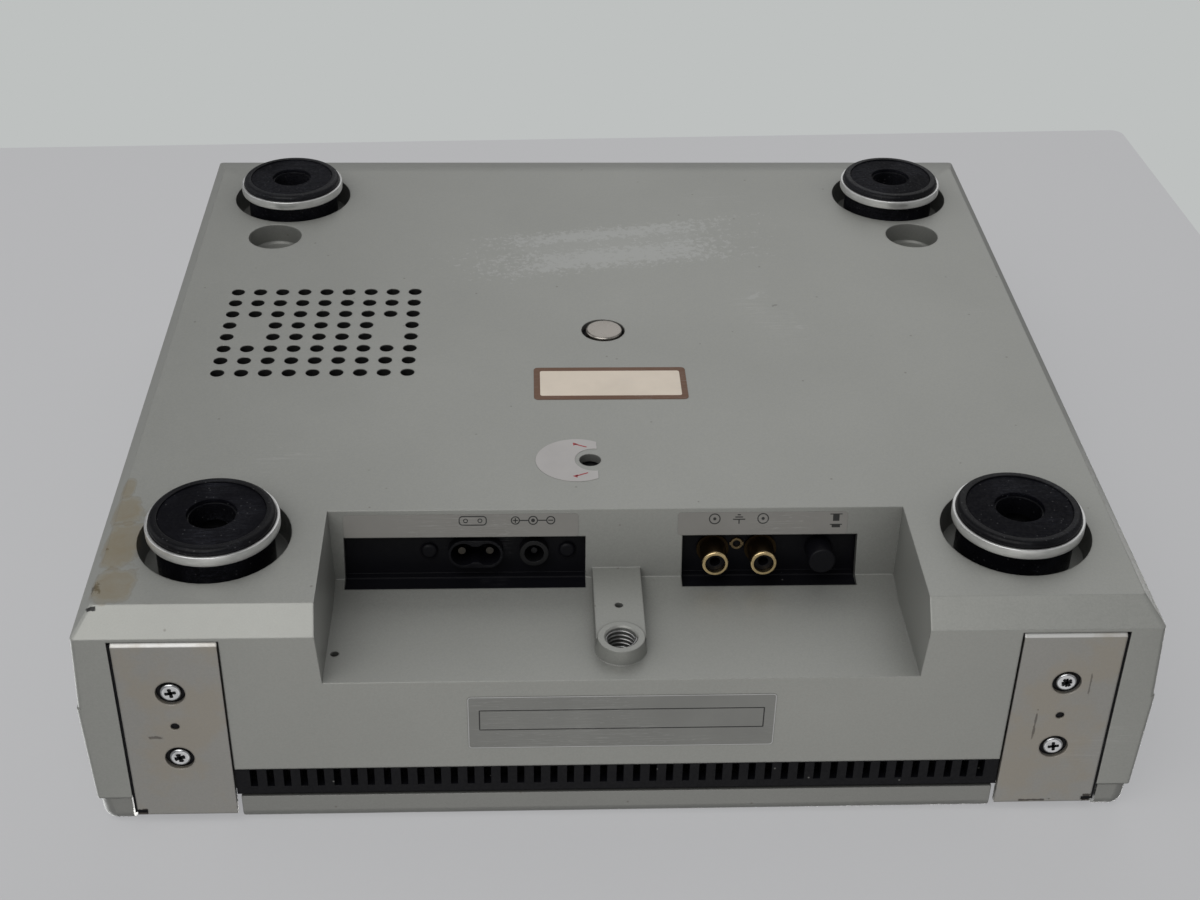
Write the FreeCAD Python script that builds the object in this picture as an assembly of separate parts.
import FreeCAD, Part
import math
import os

# A record-sleeve sized turntable that opens as a clamshell, with a linear tracking arm in the lid.
# Frame: millimetres, +Z up, standing on its feet at Z 0, front towards -Y, rear towards +Y.
# X 0, Y 0 is the middle of the footprint.

V = FreeCAD.Vector

# Overall size
WIDTH = 315.0
DEPTH = 315.0
HEIGHT = 87.0

# Fits and gaps
RUNNING_GAP = 0.05        # radial, shaft in bore
PARTING_GAP = 0.4         # between lid and base
PANEL_GAP = 0.3           # round a plate, key or window in its opening
FREE_GAP = 0.6            # between parts that pass each other

# Body outline
BOTTOM_Z = 8.8            # underside of the casting above the floor
CHAMFER_H = 6.2           # height of the chamfer round the underside
CHAMFER_SIDE = 5.0
CHAMFER_REAR = 8.1
CHAMFER_FRONT = 18.8
SIDE_DRAFT = 1.6          # how far the sides lean out from the chamfer to the parting line
FRONT_DRAFT = 2.2
CORNER_R = 1.4
LID_SIDE_H = 40.0         # how far the lid reaches down at the front and sides
LID_REAR_H = 10.7         # and at the rear
PARTING_Z = HEIGHT - LID_SIDE_H
REAR_PARTING_Z = HEIGHT - LID_REAR_H
TOWER_DRAFT = 1.1         # how far the rear corners lean in above the parting line
WALL = 3.0
FLOOR_WALL = 3.0
PLATE_PROUD = 0.3         # hinge cover plates stand this far proud of the rear face
LID_INSET = 0.3
LID_WALL = 2.3
LID_TOP_WALL = 2.8
LID_EDGE_R = 4.5
LID_CORNER_R = 5.0
LID_TOP_DRAFT = 1.6

BOTTOM_TOP = BOTTOM_Z + FLOOR_WALL
CHAMFER_Z = BOTTOM_Z + CHAMFER_H
HALF_W = WIDTH / 2
HALF_D = DEPTH / 2
REAR_Y = HALF_D - PLATE_PROUD
LID_REAR_Y = REAR_Y - LID_INSET
LID_TOP_IN = HEIGHT - LID_TOP_WALL

# Feet
FOOT_X = HALF_W - 37.3
FOOT_FRONT_Y = 47.2 - HALF_D
FOOT_REAR_Y = HALF_D - 40.1
FOOT_R = 18.7
FOOT_H = 3.2
FOOT_EDGE_R = 1.5
RING_R = 19.8
RING_H = 2.0
NECK_R = 17.5
WELL_R = 22.7
WELL_DEPTH = 9.0
WELL_WALL = 2.5
WELL_TAPER = 1.0
FELT_R = 16.0
FELT_SINK = 0.4
FELT_T = 1.2
FOOT_HOLE_R = 7.5
FOOT_HOLE_DEPTH = 6.0
FOOT_BORE_R = 2.2
FOOT_SCREW_HEAD_R = 4.6
FOOT_SCREW_HEAD_H = 2.4

# Underside features
VENT_COLUMNS = 9
VENT_ROWS = 8
VENT_PITCH = 8.04
VENT_R = 2.4
VENT_X0 = 25.4 - HALF_W
VENT_Y0 = -31.5
VENT_BLIND_COLUMNS = (1, 7)
VENT_BLIND_ROWS = (3, 4)
DIMPLE_X = HALF_W - 33.9
DIMPLE_Y = -75.6
DIMPLE_R = 10.1
DIMPLE_DEPTH = 2.2
DIMPLE_TAPER = 0.8
SELECTOR_X = -7.3
SELECTOR_Y = HALF_D - 79.0
SELECTOR_HOLE_R = 3.45
SELECTOR_DIAL_R = 5.6
SELECTOR_DIAL_H = 4.1
SELECTOR_PIN_R = 1.5

# Connector recess in the rear of the underside
RECESS_HALF_W = 87.9
RECESS_SIDE_DRAFT = 1.6
RECESS_BACK_Y = HALF_D - 52.4
RECESS_BACK_LEAN = 5.2
RECESS_BEAD_Z = 31.0
RECESS_CREASE_Y = HALF_D - 35.9
RECESS_CREASE_Z = 32.7
RECESS_EDGE_Z = 31.8
RECESS_WALL = 2.5
DRAIN_X = -84.1
DRAIN_Y = HALF_D - 13.5
DRAIN_R = 1.25

# Tongue and threaded boss in the recess
TONGUE_HALF_W = 7.4
TONGUE_Z = 27.9
TONGUE_HOLE_Y = HALF_D - 29.5
TONGUE_HOLE_R = 1.25
BOSS_Y = HALF_D - 14.1
BOSS_R = 7.0
BOSS_SKIRT_R = 7.7
BOSS_FACE_Z = 27.3
BOSS_BACKING_R = 9.0
THREAD_R = 4.6
THREAD_MOUTH_R = 5.1
THREAD_DEPTH = 14.0

# Windows and sockets, tilted a little to face the floor
WINDOW_LOW_Z = 17.6
WINDOW_HIGH_Z = 31.4
POWER_WINDOW = (-83.5, -9.5)
SIGNAL_WINDOW = (20.3, 74.5)
PANEL_FACE_Y = HALF_D - 53.5
PANEL_Z = 24.6
PANEL_T = 2.4
PANEL_RIM = 2.0
PANEL_TILT = 7.0
INLET_X = -43.3
INLET_W = 16.8
INLET_H = 9.6
INLET_PROUD = 3.4
INLET_LOBE_R = 3.9
INLET_LOBE_X = 3.75
INLET_DEPTH = 11.0
INLET_PIN_X = 4.3
INLET_PIN_R = 1.2
INLET_PIN_L = 8.5
DC_X = -25.3
DC_R = 4.4
DC_BORE_R = 3.0
DC_PROUD = 3.0
DC_DEPTH = 9.0
DC_PIN_R = 1.0
RIVET_X = (-57.7, -15.1)
RIVET_R = 2.65
RIVET_H = 1.6
PHONO_X = (30.1, 45.0)
PHONO_R = 4.05
PHONO_BORE_R = 3.1
PHONO_L = 10.4
PHONO_FLANGE_R = 5.0
PHONO_FLANGE_T = 1.0
PHONO_PIN_BORE_R = 1.6
LUG_X = 37.6
LUG_R = 1.9
LUG_HOLE_R = 1.2
LUG_EAR_L = 2.2
LUG_T = 0.8
LUG_RISE = 1.6
BUTTON_X = 63.2
BUTTON_R = 4.1
BUTTON_PROUD = 9.5
BUTTON_STEM_L = 12.0
SOCKET_BACK = 12.0

# Rear vent grille and hinge cover plates
GRILLE_LOW_Z = REAR_PARTING_Z - 11.0
GRILLE_SLOTS = 45
GRILLE_PITCH = 4.97
GRILLE_SLOT_W = 2.1
GRILLE_SLOT_H = 6.8
GRILLE_SLOT_LOW = 0.8
GRILLE_T = 3.0
GRILLE_SINK = 0.5
PLATE_X = HALF_W - 27.5
PLATE_W = 29.8
PLATE_LOW_Z = 16.7
PLATE_HIGH_Z = HEIGHT - 4.0
PLATE_T = 2.0
PLATE_GAP_INNER = 0.6
PLATE_GAP_OUTER = 1.0
PLATE_GAP_LID = 0.5          # the lid's notch is wider than the plate's seat by this
PLATE_BEVEL = 1.0
PLATE_SLOT = (3.0, PLATE_HIGH_Z - 1.9, PLATE_HIGH_Z - 0.5)   # length, low and high Z of the relief
PLATE_SCREW_Z = (35.0, 60.2)
PLATE_SCREW_R = 2.6
PLATE_SINK_R = 4.3
PLATE_SINK_DEPTH = 1.3
SCREW_HEAD_R = 3.1
SCREW_HEAD_H = 1.2
SCREW_SHANK_R = 1.5
SCREW_L = 9.0
PLATE_HOLE_Z = 47.7
PLATE_HOLE_R = 1.3

# Hinge
HINGE_Y = HALF_D - 6.5
HINGE_Z = HEIGHT - 7.0
HINGE_PIN_R = 2.0
HINGE_BARREL_R = 4.2
HINGE_PIN_HALF_L = 12.5
HINGE_EAR_T = 3.0
HINGE_POCKET_HALF_W = 13.0
HINGE_POCKET_LOW_Z = PARTING_Z + 3.0
HINGE_BRACKET_T = 2.5
HINGE_ARM_FRONT_Y = HALF_D - 23.5
LID_NOTCH_Y = HALF_D - 16.1
TOWER_FRONT_Y = HALF_D - 17.5
TOWER_IN_X = HALF_W - 45.5

# Platter, motor and spindle
SPINDLE_Y = -3.0
SPINDLE_R = 3.55
PLATTER_R = min(HALF_W, HALF_D) - 10.0
PLATTER_TOP_Z = PARTING_Z + 10.6
SPINDLE_TOP_Z = PLATTER_TOP_Z + 8.4
PLATTER_RIM_H = 7.6
PLATTER_RIM_T = 6.0
PLATTER_WEB_T = 3.2
PLATTER_HUB_R = 38.0
MAT_R = PLATTER_R - 1.5
MAT_T = 2.4
MAT_LABEL_R = 50.0
MAT_GROOVES = 5
ADAPTOR_R = 19.1
ADAPTOR_T = 2.0
MOTOR_R = 52.0
MOTOR_H = PARTING_Z - 21.0
SHAFT_R = 5.0
ROTOR_R = 34.0
ROTOR_H = 5.0
CAP_HOLE_R = 7.7
CAP_R = 7.3
CAP_DOME = 0.5

# Deck, boards and selectors
DECK_T = 2.2
DECK_GAP = 0.8
DECK_HOLE_R = 40.0
POST_R = 4.5
POST_X = HALF_W - 16.5
POST_Y = (29.5 - HALF_D, HALF_D - 65.5)
TRANSFORMER = (-133.0, -71.0, -34.0, 26.0)
TRANSFORMER_H = PARTING_Z - 17.0
TRANSFORMER_STACK_T = 16.0
BOARD_T = 1.6
BOARD_POST_H = 6.0
POWER_BOARD = (-104.0, 4.0, SPINDLE_Y + MOTOR_R + 7.0, HALF_D - 61.5)
CONTROL_BOARD = (64.0, HALF_W - 23.5, 75.5 - HALF_D, HALF_D - 69.5)
SELECTOR_KNOB = (9.0, 5.0, 3.0)
SPEED_KNOB_X = 21.5 - HALF_W
KNOB_Y = 21.5 - HALF_D
KNOB_TRAVEL = 4.0

# Open button and latch at the front
OPEN_W = 26.0
OPEN_H = 7.0
OPEN_Z = PARTING_Z - 16.0
OPEN_PROUD = 0.4
OPEN_FLANGE = 1.5
OPEN_FLANGE_T = 1.4
OPEN_STUB = (8.0, 4.0)
OPEN_STUB_GAP = 0.8
LATCH_PIVOT_Y = 13.0 - HALF_D
LATCH_PIVOT_Z = BOTTOM_Z + 10.2
LATCH_PIN_R = 1.5
LATCH_W = 9.0
LATCH_T = 3.0
LATCH_TOP_Z = PARTING_Z - 2.8
LATCH_NOSE_T = 2.2
LATCH_NOSE_GAP = 0.2
STRIKER_W = 18.0
STRIKER_T = 1.6
STRIKER_Y = 4.1 - HALF_D
STRIKER_Z = (PARTING_Z - 7.5, PARTING_Z + 11.0)
STRIKER_PAD_Z = PARTING_Z + 3.0
STRIKER_WINDOW = (11.0, PARTING_Z - 5.8, PARTING_Z - 2.0)
STRIKER_ROOM = 1.5

# Arm mechanism in the lid
ARM_PIVOT_Y = HALF_D - 55.5
ARM_X = HALF_W - 10.5
ARM_Z = HEIGHT - 16.0
ARM_R = 2.4
STYLUS_TIP_Z = ARM_Z - 5.5
HEAD_W = 12.6
HEAD_L = 24.0
HEAD_AHEAD = 6.0    # how far the head reaches in front of the stylus
SHELL_L = 8.0
SHELL_HALF_H = 3.4
SHELL_FILLET = 1.2
ARM_HUB_R = 2.9
ARM_HUB_GAP = 0.3
ARM_TAIL = 2.0
CARTRIDGE_H = (2.4, 0.5, 3.4)    # above the arm's axis, and the nose and the belly below it
CARTRIDGE_NOSE = 5.0
CARTRIDGE_GAP = 0.6
STYLUS_R = (0.8, 0.15)
STYLUS_ROOT = 3.0
HOLDER_HALF_W = 2.0
HOLDER_Z = (4.4, 3.3)
WEIGHT_R = 4.8
WEIGHT_Y = (ARM_PIVOT_Y + 4.5, ARM_PIVOT_Y + 12.5)
RAIL_Y = (HALF_D - 48.0, HALF_D - 30.0)
RAIL_Z = HEIGHT - 6.4
RAIL_R = 2.4
RAIL_X = (24.0, HALF_W - 4.5)
RAIL_BRACKET_T = 3.0
CARRIAGE_Y = (HALF_D - 53.5, HALF_D - 24.5)
CARRIAGE_Z = (HEIGHT - 10.1, HEIGHT - 3.3)
CARRIAGE_L = 28.0
CARRIAGE_TONGUE = (9.0, 4.5)    # its width, and its reach in front of the pivot
CORD_LUG_X = (3.0, 9.0)
CORD_LUG_HALF_Y = 2.2
PIN_BORE_DEPTH = 5.0
GIMBAL_PIN_R = 1.5
GIMBAL_CHEEK_T = 1.6
GIMBAL_CHEEK_X = 3.4
GIMBAL_HALF_Y = 3.0
GIMBAL_CHEEK_LOW = 3.0
GIMBAL_GAP = 0.3
GIMBAL_BRIDGE_T = 1.6
GIMBAL_PIN_L = 4.0
CROSS_PIN_R = 0.9
PULLEY_R = 5.0
PULLEY_H = 3.0
PULLEY_Y = HALF_D - 33.5
PULLEY_X = (12.0, HALF_W - 19.5)
PULLEY_Z = HEIGHT - 13.8
IDLER_FOOT_X = (-6.0, 3.0, 9.0)   # its front edge, and the leg's two sides, from the pulley's axis
IDLER_LEG_Y = 12.4
IDLER_PLATE_T = 2.0
PULLEY_SHAFT_R = 1.5
CORD_R = 0.4
DRIVE_MOTOR_R = 9.0

# Lid covers, window, clamp and keys
COVER_Z = HEIGHT - 16.0
COVER_T = 1.6
COVER_HALF_W = HALF_W - 4.9
COVER_FRONT_Y = 7.0 - HALF_D
COVER_REAR_Y = HALF_D - 62.5
ARM_SLOT_X = 38.0
ARM_SLOT_Y = -20.0
MECH_COVER_Z = HEIGHT - 23.6
MECH_COVER_T = 1.4
HINGE_ARM_ROOM = 12.0
MECH_COVER_X = (-12.0, HALF_W - 4.3)
MECH_COVER_Y = (HALF_D - 60.5, HALF_D - 18.7)
WINDOW = (40.0, HALF_W - 9.5, -24.0, 18.0)
WINDOW_R = 3.0
CLAMP_R = 34.0
CLAMP_Z = PLATTER_TOP_Z + 4.6
CLAMP_T = 3.2
CLAMP_HUB_R = 9.0
CLAMP_BORE_R = 5.4
CLAMP_BORE_ROOM = 2.2
CLAMP_SHAFT_R = 3.0
CLAMP_COLLAR_R = 5.5
KEY_NAMES = ("power", "search_left", "search_right", "cue", "stop", "start")
KEY_X0 = -10.0
KEY_PITCH = 25.0
KEY_Y = 21.5 - HALF_D
KEY_W = 18.0
KEY_D = 9.0
KEY_T = 2.8
KEY_SINK = 0.3
KEY_FLANGE = 1.2
KEY_TRAVEL = 1.5
KEY_BOARD_Z = HEIGHT - 8.0

NODES = {}


def box(x0, x1, y0, y1, z0, z1):
    return Part.makeBox(x1 - x0, y1 - y0, z1 - z0, V(x0, y0, z0))


def rod_x(x0, x1, y, z, r):
    return Part.makeCylinder(r, x1 - x0, V(x0, y, z), V(1, 0, 0))


def rod_y(x, y0, y1, z, r):
    return Part.makeCylinder(r, y1 - y0, V(x, y0, z), V(0, 1, 0))


def rod_z(x, y, z0, z1, r):
    return Part.makeCylinder(r, z1 - z0, V(x, y, z0), V(0, 0, 1))


def cone_z(x, y, z0, z1, r0, r1):
    return Part.makeCone(r0, r1, z1 - z0, V(x, y, z0), V(0, 0, 1))


def rounded_rect(x0, x1, y0, y1, z, r):
    """A rectangle at height z with corners of radius r."""
    k = r * math.sqrt(0.5)
    corners = ((x1 - r, y0 + r, 1, -1), (x1 - r, y1 - r, 1, 1),
               (x0 + r, y1 - r, -1, 1), (x0 + r, y0 + r, -1, -1))
    edges = []
    last = None
    first = None
    for cx, cy, sx, sy in corners:
        if sx * sy < 0:
            start, end = V(cx, cy + sy * r, z), V(cx + sx * r, cy, z)
        else:
            start, end = V(cx + sx * r, cy, z), V(cx, cy + sy * r, z)
        middle = V(cx + sx * k, cy + sy * k, z)
        if last is None:
            first = start
        else:
            edges.append(Part.LineSegment(last, start).toShape())
        edges.append(Part.Arc(start, middle, end).toShape())
        last = end
    edges.append(Part.LineSegment(last, first).toShape())
    return Part.Wire(edges)


def stack(sections):
    """A solid through rounded rectangles (x0, x1, y0, y1, z, r), with straight sides between."""
    return Part.makeLoft([rounded_rect(*s) for s in sections], True, True)


def prism_x(points_yz, x0, x1):
    points = [V(x0, y, z) for y, z in points_yz]
    face = Part.Face(Part.makePolygon(points + [points[0]]))
    return face.extrude(V(x1 - x0, 0, 0))


def fuse(shapes):
    return shapes[0].multiFuse(shapes[1:]).removeSplitter()


def tilted(shape):
    """Turn a shape built square to the panel's centre line so that it faces the floor a little."""
    turned = shape.copy()
    turned.rotate(V(0, PANEL_FACE_Y, PANEL_Z), V(1, 0, 0), -PANEL_TILT)
    return turned


def add(name, shape):
    NODES[name] = shape


# Base casting

def base_sections(inset, low_z, high_z):
    """The casting's outline, set in by a wall, from the underside to the parting line."""
    rear = REAR_Y - inset
    return [
        (-HALF_W + SIDE_DRAFT + CHAMFER_SIDE + inset, HALF_W - SIDE_DRAFT - CHAMFER_SIDE - inset,
         -HALF_D + FRONT_DRAFT + CHAMFER_FRONT + inset, rear - CHAMFER_REAR, low_z, CORNER_R),
        (-HALF_W + SIDE_DRAFT + inset, HALF_W - SIDE_DRAFT - inset,
         -HALF_D + FRONT_DRAFT + inset, rear, CHAMFER_Z + inset * 0.4, CORNER_R),
        (-HALF_W + inset, HALF_W - inset, -HALF_D + inset, rear, high_z, CORNER_R)]


def recess_block(grow):
    """The connector recess as a solid, grown by a wall for the inside of the casting."""
    lean = (RECESS_BEAD_Z - BOTTOM_Z)
    profile = prism_x([
        (RECESS_BACK_Y - grow - RECESS_BACK_LEAN, BOTTOM_Z - lean),
        (RECESS_BACK_Y + RECESS_BACK_LEAN - grow, RECESS_BEAD_Z + grow * 0.8),
        (RECESS_CREASE_Y, RECESS_CREASE_Z + grow),
        (HALF_D + 10, RECESS_EDGE_Z + grow),
        (HALF_D + 10, BOTTOM_Z - lean)], -HALF_W, HALF_W)
    half_low = RECESS_HALF_W + RECESS_SIDE_DRAFT + grow
    half_high = RECESS_HALF_W - RECESS_SIDE_DRAFT + grow
    sides = stack([
        (-half_low, half_low, RECESS_BACK_Y - 30, HALF_D + 30, BOTTOM_Z - lean, CORNER_R),
        (-half_high, half_high, RECESS_BACK_Y - 30, HALF_D + 30, RECESS_BEAD_Z + grow + 4, CORNER_R)])
    return profile.common(sides)


def foot_places():
    return [("front_left", -FOOT_X, FOOT_FRONT_Y), ("front_right", FOOT_X, FOOT_FRONT_Y),
            ("rear_left", -FOOT_X, FOOT_REAR_Y), ("rear_right", FOOT_X, FOOT_REAR_Y)]


def vent_holes():
    """The grid of vent holes, with two blind pairs where the transformer's feet stand."""
    holes = []
    for column in range(VENT_COLUMNS):
        for row in range(VENT_ROWS):
            if column in VENT_BLIND_COLUMNS and row in VENT_BLIND_ROWS:
                continue
            x = VENT_X0 + column * VENT_PITCH
            y = VENT_Y0 + row * VENT_PITCH
            holes.append(rod_z(x, y, BOTTOM_Z - 1, BOTTOM_TOP + 1, VENT_R))
    return holes


def corner_tower(side):
    """A rear corner that rises beside the lid and carries the hinge."""
    inner = TOWER_IN_X
    outer_low = HALF_W
    outer_high = HALF_W - TOWER_DRAFT
    outline = [(inner, PARTING_Z - 6), (outer_low, PARTING_Z - 6), (outer_low, PARTING_Z),
               (outer_high, REAR_PARTING_Z), (inner, REAR_PARTING_Z)]
    points = [V(side * x, TOWER_FRONT_Y, z) for x, z in outline]
    face = Part.Face(Part.makePolygon(points + [points[0]]))
    tower = face.extrude(V(0, REAR_Y - TOWER_FRONT_Y, 0))
    corner = [e for e in tower.Edges
              if e.BoundBox.YMin > REAR_Y - 0.01 and abs(e.CenterOfMass.x) > outer_high - 0.6
              and e.BoundBox.ZMax > PARTING_Z + 1]
    return tower.makeFillet(CORNER_R * 0.8, corner)


def hinge_pocket(side):
    """The pocket behind a hinge cover plate, for the bracket and the lid's hinge arm."""
    x = side * PLATE_X
    half = HINGE_POCKET_HALF_W
    deep = box(x - half, x + half, TOWER_FRONT_Y + WALL, REAR_Y - 1, HINGE_POCKET_LOW_Z, HEIGHT)
    inner_gap, outer_gap = PLATE_GAP_INNER, PLATE_GAP_OUTER
    low_gap, high_gap = (outer_gap, inner_gap) if side < 0 else (inner_gap, outer_gap)
    seat = box(x - PLATE_W / 2 - low_gap, x + PLATE_W / 2 + high_gap,
               REAR_Y - PLATE_T + PLATE_PROUD, REAR_Y + 5, PLATE_LOW_Z - PLATE_GAP_INNER, HEIGHT)
    arm_way = box(x - half, x + half, TOWER_FRONT_Y - 1, REAR_Y - 1, REAR_PARTING_Z - 3.5, HEIGHT)
    screws = [rod_y(x, REAR_Y - SCREW_L, REAR_Y, z, SCREW_SHANK_R + RUNNING_GAP)
              for z in PLATE_SCREW_Z]
    return fuse([deep, seat, arm_way] + screws)


def boss_and_tongue():
    tongue = box(-TONGUE_HALF_W, TONGUE_HALF_W, RECESS_BACK_Y - 0.5, BOSS_Y, TONGUE_Z,
                 RECESS_CREASE_Z + RECESS_WALL)
    boss = rod_z(0, BOSS_Y, BOSS_FACE_Z, BOSS_FACE_Z + 1, BOSS_R)
    skirt = cone_z(0, BOSS_Y, BOSS_FACE_Z + 1, RECESS_CREASE_Z, BOSS_R, BOSS_SKIRT_R)
    backing = rod_z(0, BOSS_Y, RECESS_CREASE_Z, BOSS_FACE_Z + THREAD_DEPTH + 3, BOSS_BACKING_R)
    return [tongue, boss, skirt, backing]


def wall_cavity():
    """What is hollow inside the casting, clear of the recess and the foot wells."""
    lowest = BOTTOM_TOP
    cavity = stack(base_sections(WALL, lowest, PARTING_Z + 0.01))
    cavity = cavity.cut(recess_block(RECESS_WALL))
    rear = box(-TOWER_IN_X + WALL, TOWER_IN_X - WALL, TOWER_FRONT_Y - 20, REAR_Y - WALL,
               PARTING_Z - 8, HEIGHT)
    cups = [cone_z(x, y, BOTTOM_Z, BOTTOM_Z + WELL_DEPTH + WELL_WALL, WELL_R + WELL_WALL,
                   WELL_R + WELL_WALL - WELL_TAPER) for _, x, y in foot_places()]
    return cavity.cut(fuse_far(cups)).fuse(rear)


def fuse_far(shapes):
    """A group of separate shapes as one compound tool."""
    return Part.makeCompound(shapes)


def inner_posts():
    """Posts for the deck and the boards, rising from the floor of the casting."""
    top = PARTING_Z - DECK_T
    posts = [rod_z(s * POST_X, y, BOTTOM_Z + 1, top, POST_R) for s in (-1, 1) for y in POST_Y]
    for x0, x1, y0, y1 in (POWER_BOARD, CONTROL_BOARD):
        for x in (x0 + 5, x1 - 5):
            for y in (y0 + 5, y1 - 5):
                posts.append(rod_z(x, y, BOTTOM_Z + 1, BOTTOM_TOP + BOARD_POST_H, 3.0))
    x0, x1, y0, y1 = TRANSFORMER
    middle = (y0 + y1) / 2
    for x in (x0 + 8, x1 - 8):
        posts.append(box(x - 5, x + 5, middle - 5, middle + 5, BOTTOM_Z + 1, BOTTOM_TOP + 2))
    return posts


def make_base_casting():
    body = stack(base_sections(0, BOTTOM_Z, PARTING_Z))
    rear_wall = box(-TOWER_IN_X, TOWER_IN_X, REAR_Y - WALL, REAR_Y, PARTING_Z - 6, REAR_PARTING_Z)
    body = fuse([body, rear_wall, corner_tower(-1), corner_tower(1)])
    body = body.cut(wall_cavity())
    body = fuse([body] + inner_posts())
    cuts = [recess_block(0)]
    for _, x, y in foot_places():
        cuts.append(cone_z(x, y, BOTTOM_Z, BOTTOM_Z + WELL_DEPTH, WELL_R, WELL_R - WELL_TAPER))
        cuts.append(rod_z(x, y, BOTTOM_Z, BOTTOM_Z + WELL_DEPTH + WELL_WALL + 1, FOOT_BORE_R))
    for side in (-1, 1):
        cuts.append(cone_z(side * DIMPLE_X, DIMPLE_Y, BOTTOM_Z, BOTTOM_Z + DIMPLE_DEPTH,
                           DIMPLE_R, DIMPLE_R - DIMPLE_TAPER))
    body = body.cut(cuts)
    body = fuse([body] + boss_and_tongue())
    cuts = vent_holes()
    cuts.append(rod_z(0, SPINDLE_Y, BOTTOM_Z - 1, BOTTOM_TOP + 1, CAP_HOLE_R))
    cuts.append(rod_z(SELECTOR_X, SELECTOR_Y, BOTTOM_Z - 1, BOTTOM_TOP + 1, SELECTOR_HOLE_R))
    cuts.append(rod_z(DRAIN_X, DRAIN_Y, RECESS_EDGE_Z - 2, RECESS_EDGE_Z + 6, DRAIN_R))
    cuts.append(rod_z(0, TONGUE_HOLE_Y, TONGUE_Z - 1, TONGUE_Z + 4, TONGUE_HOLE_R))
    cuts.append(rod_z(0, BOSS_Y, BOSS_FACE_Z, BOSS_FACE_Z + THREAD_DEPTH, THREAD_R))
    mouth = THREAD_MOUTH_R - THREAD_R
    cuts.append(cone_z(0, BOSS_Y, BOSS_FACE_Z, BOSS_FACE_Z + mouth, THREAD_MOUTH_R, THREAD_R))
    for x0, x1 in (POWER_WINDOW, SIGNAL_WINDOW):
        cuts.append(box(x0, x1, RECESS_BACK_Y - 6, RECESS_CREASE_Y, WINDOW_LOW_Z, WINDOW_HIGH_Z))
    cuts.append(hinge_pocket(-1))
    cuts.append(hinge_pocket(1))
    cuts.append(grille_seat(0))
    cuts.append(rod_x(-WIDTH, WIDTH, HINGE_Y, HINGE_Z, lid_corner_swing()))
    cuts.append(open_button_slot())
    cuts.append(striker_room())
    add("base_casting", body.cut(cuts))


def lid_corner_swing():
    """Radius that the lid's lower rear edge sweeps round the hinge, with its gap."""
    edge_y = LID_REAR_Y - HINGE_Y
    edge_z = HINGE_Z - REAR_PARTING_Z - PARTING_GAP
    return math.hypot(edge_y, edge_z) + PARTING_GAP * 0.8


def grille_half_w():
    return PLATE_X - PLATE_W / 2 - PANEL_GAP


def grille_seat(shrink):
    """The strip-shaped opening below the lid, or with shrink the strip that fills it."""
    half = grille_half_w() - shrink
    return box(-half, half, REAR_Y - GRILLE_T + 0.0 - (1.0 - shrink), REAR_Y + 1 - shrink,
               GRILLE_LOW_Z + shrink, HEIGHT)


def open_button_slot():
    half_w = OPEN_W / 2 + PANEL_GAP
    half_h = OPEN_H / 2 + PANEL_GAP
    return box(-half_w, half_w, -HALF_D - 1, -HALF_D + 10, OPEN_Z - half_h, OPEN_Z + half_h)


def striker_room():
    """Relief inside the front wall for the lid's striker."""
    half = STRIKER_W / 2 + STRIKER_ROOM
    return box(-half, half, STRIKER_Y - STRIKER_ROOM - 0.5, STRIKER_Y + 5,
               STRIKER_Z[0] - STRIKER_ROOM, PARTING_Z + 1)


# Rear face pieces

def make_hinge_covers():
    """Flat plates over the hinges, bevelled along their lower edge, with sunk screw seats."""
    front = REAR_Y + PLATE_PROUD
    for name, side in (("left", -1), ("right", 1)):
        x = side * PLATE_X
        plate = box(x - PLATE_W / 2, x + PLATE_W / 2, front - PLATE_T, front,
                    PLATE_LOW_Z, PLATE_HIGH_Z)
        low = [e for e in plate.Edges if e.BoundBox.YMin > front - 0.01
               and e.BoundBox.ZMax < PLATE_LOW_Z + 0.01]
        plate = plate.makeChamfer(PLATE_BEVEL, low)
        cuts = [rod_y(x, front - PLATE_T - 1, front + 1, PLATE_HOLE_Z, PLATE_HOLE_R)]
        for z in PLATE_SCREW_Z:
            cuts.append(rod_y(x, front - PLATE_SINK_DEPTH, front + 1, z, PLATE_SINK_R))
            cuts.append(rod_y(x, front - PLATE_T - 1, front + 1, z, PLATE_SCREW_R))
        length, slot_low, slot_high = PLATE_SLOT
        edge = x + side * PLATE_W / 2
        cuts.append(box(min(edge, edge - side * length), max(edge, edge - side * length),
                        front - PLATE_T - 1, front + 1, slot_low, slot_high))
        add("hinge_cover_" + name, plate.cut(cuts))


def cover_screws():
    screws = []
    face = REAR_Y + PLATE_PROUD - PLATE_SINK_DEPTH
    for side in (-1, 1):
        x = side * PLATE_X
        for z in PLATE_SCREW_Z:
            head = rod_y(x, face, face + SCREW_HEAD_H, z, SCREW_HEAD_R)
            rim = [e for e in head.Edges if e.BoundBox.YMin > face + SCREW_HEAD_H - 0.01]
            head = head.makeFillet(SCREW_HEAD_H * 0.6, rim)
            shank = rod_y(x, REAR_Y - SCREW_L, face + 0.2, z, SCREW_SHANK_R)
            cross = [box(x - 1.6, x + 1.6, face + 0.3, face + 3, z - 0.35, z + 0.35),
                     box(x - 0.35, x + 0.35, face + 0.3, face + 3, z - 1.6, z + 1.6)]
            screws.append(head.fuse(shank).cut(cross))
    return screws


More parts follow.
